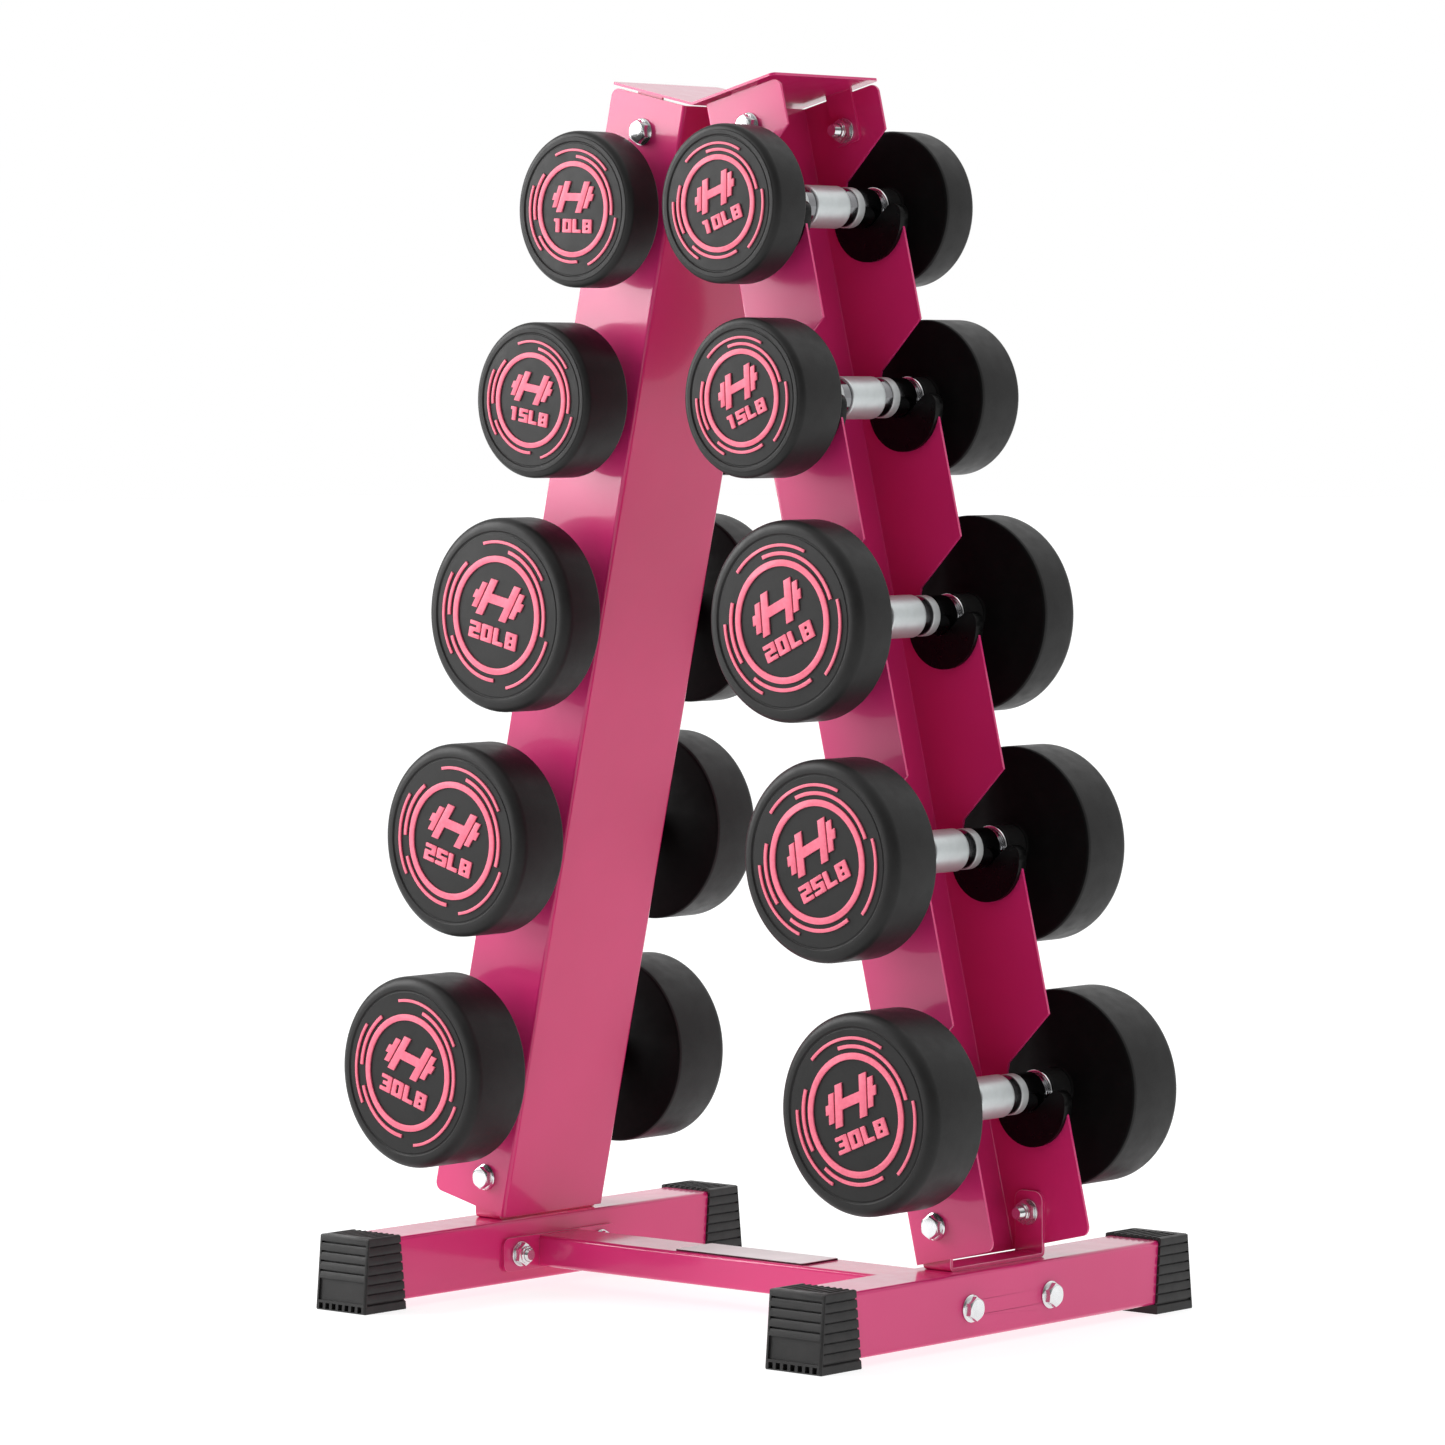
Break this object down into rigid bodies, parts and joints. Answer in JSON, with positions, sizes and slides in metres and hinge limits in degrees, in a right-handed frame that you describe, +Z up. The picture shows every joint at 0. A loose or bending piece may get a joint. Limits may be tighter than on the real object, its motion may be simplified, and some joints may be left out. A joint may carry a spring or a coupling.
{
  "type": "dumbbell rack",
  "caption": "A-frame rack of folded sheet uprights on a tube base, with hook notches front and back that hold round-headed dumbbells on both sides.",
  "frame": {"origin": "on the floor, at the middle of the footprint", "axes": "+X to the rack's right, +Y to its back, +Z up"},
  "size_m": [0.621, 0.443, 0.9604],
  "materials": {
    "pink_coat": "gloss powder coat",
    "cap_plastic": "moulded, satin",
    "saddle_plastic": "moulded, satin",
    "white_plate": "satin white",
    "zinc_hardware": "bright zinc",
    "chrome_bar": "polished chrome with fine knurl",
    "black_rubber": "matte vulcanised rubber",
    "iron": "as cast",
    "pink_badge": "satin urethane"
  },
  "bodies": {
    "rack": {"left_upright": "pink_coat", "left_base_tube": "pink_coat", "left_foot_bracket": "pink_coat", "left_saddle_liners": "saddle_plastic", "left_front_foot_cap": "cap_plastic", "left_rear_foot_cap": "cap_plastic", "right_upright": "pink_coat", "right_base_tube": "pink_coat", "right_foot_bracket": "pink_coat", "right_saddle_liners": "saddle_plastic", "right_front_foot_cap": "cap_plastic", "right_rear_foot_cap": "cap_plastic", "top_bracket": "pink_coat", "crossbar": "pink_coat", "crossbar_end_plates": "pink_coat", "blank_name_plate": "white_plate", "upright_bolts": "zinc_hardware", "crossbar_bolts": "zinc_hardware", "nuts": "zinc_hardware", "washers": "zinc_hardware"},
    "left_10lb_dumbbell": {"left_10lb_handle": "chrome_bar", "left_10lb_rubber_heads": "black_rubber", "left_10lb_iron_cores": "iron", "left_10lb_face_rings": "pink_badge"},
    "left_15lb_dumbbell": {"left_15lb_handle": "chrome_bar", "left_15lb_rubber_heads": "black_rubber", "left_15lb_iron_cores": "iron", "left_15lb_face_rings": "pink_badge"},
    "left_20lb_dumbbell": {"left_20lb_handle": "chrome_bar", "left_20lb_rubber_heads": "black_rubber", "left_20lb_iron_cores": "iron", "left_20lb_face_rings": "pink_badge"},
    "left_25lb_dumbbell": {"left_25lb_handle": "chrome_bar", "left_25lb_rubber_heads": "black_rubber", "left_25lb_iron_cores": "iron", "left_25lb_face_rings": "pink_badge"},
    "left_30lb_dumbbell": {"left_30lb_handle": "chrome_bar", "left_30lb_rubber_heads": "black_rubber", "left_30lb_iron_cores": "iron", "left_30lb_face_rings": "pink_badge"},
    "right_10lb_dumbbell": {"right_10lb_handle": "chrome_bar", "right_10lb_rubber_heads": "black_rubber", "right_10lb_iron_cores": "iron", "right_10lb_face_rings": "pink_badge"},
    "right_15lb_dumbbell": {"right_15lb_handle": "chrome_bar", "right_15lb_rubber_heads": "black_rubber", "right_15lb_iron_cores": "iron", "right_15lb_face_rings": "pink_badge"},
    "right_20lb_dumbbell": {"right_20lb_handle": "chrome_bar", "right_20lb_rubber_heads": "black_rubber", "right_20lb_iron_cores": "iron", "right_20lb_face_rings": "pink_badge"},
    "right_25lb_dumbbell": {"right_25lb_handle": "chrome_bar", "right_25lb_rubber_heads": "black_rubber", "right_25lb_iron_cores": "iron", "right_25lb_face_rings": "pink_badge"},
    "right_30lb_dumbbell": {"right_30lb_handle": "chrome_bar", "right_30lb_rubber_heads": "black_rubber", "right_30lb_iron_cores": "iron", "right_30lb_face_rings": "pink_badge"}
  },
  "joints": [
    {"name": "left_10lb_lift_off", "type": "slide", "parent": "rack", "child": "left_10lb_dumbbell", "axis": [-0.7314, 0, 0.682], "range_m": [0, 0.12]},
    {"name": "left_15lb_lift_off", "type": "slide", "parent": "rack", "child": "left_15lb_dumbbell", "axis": [-0.7314, 0, 0.682], "range_m": [0, 0.12]},
    {"name": "left_20lb_lift_off", "type": "slide", "parent": "rack", "child": "left_20lb_dumbbell", "axis": [-0.7314, 0, 0.682], "range_m": [0, 0.12]},
    {"name": "left_25lb_lift_off", "type": "slide", "parent": "rack", "child": "left_25lb_dumbbell", "axis": [-0.7314, 0, 0.682], "range_m": [0, 0.12]},
    {"name": "left_30lb_lift_off", "type": "slide", "parent": "rack", "child": "left_30lb_dumbbell", "axis": [-0.7314, 0, 0.682], "range_m": [0, 0.12]},
    {"name": "right_10lb_lift_off", "type": "slide", "parent": "rack", "child": "right_10lb_dumbbell", "axis": [0.7314, 0, 0.682], "range_m": [0, 0.12]},
    {"name": "right_15lb_lift_off", "type": "slide", "parent": "rack", "child": "right_15lb_dumbbell", "axis": [0.7314, 0, 0.682], "range_m": [0, 0.12]},
    {"name": "right_20lb_lift_off", "type": "slide", "parent": "rack", "child": "right_20lb_dumbbell", "axis": [0.7314, 0, 0.682], "range_m": [0, 0.12]},
    {"name": "right_25lb_lift_off", "type": "slide", "parent": "rack", "child": "right_25lb_dumbbell", "axis": [0.7314, 0, 0.682], "range_m": [0, 0.12]},
    {"name": "right_30lb_lift_off", "type": "slide", "parent": "rack", "child": "right_30lb_dumbbell", "axis": [0.7314, 0, 0.682], "range_m": [0, 0.12]}
  ]
}
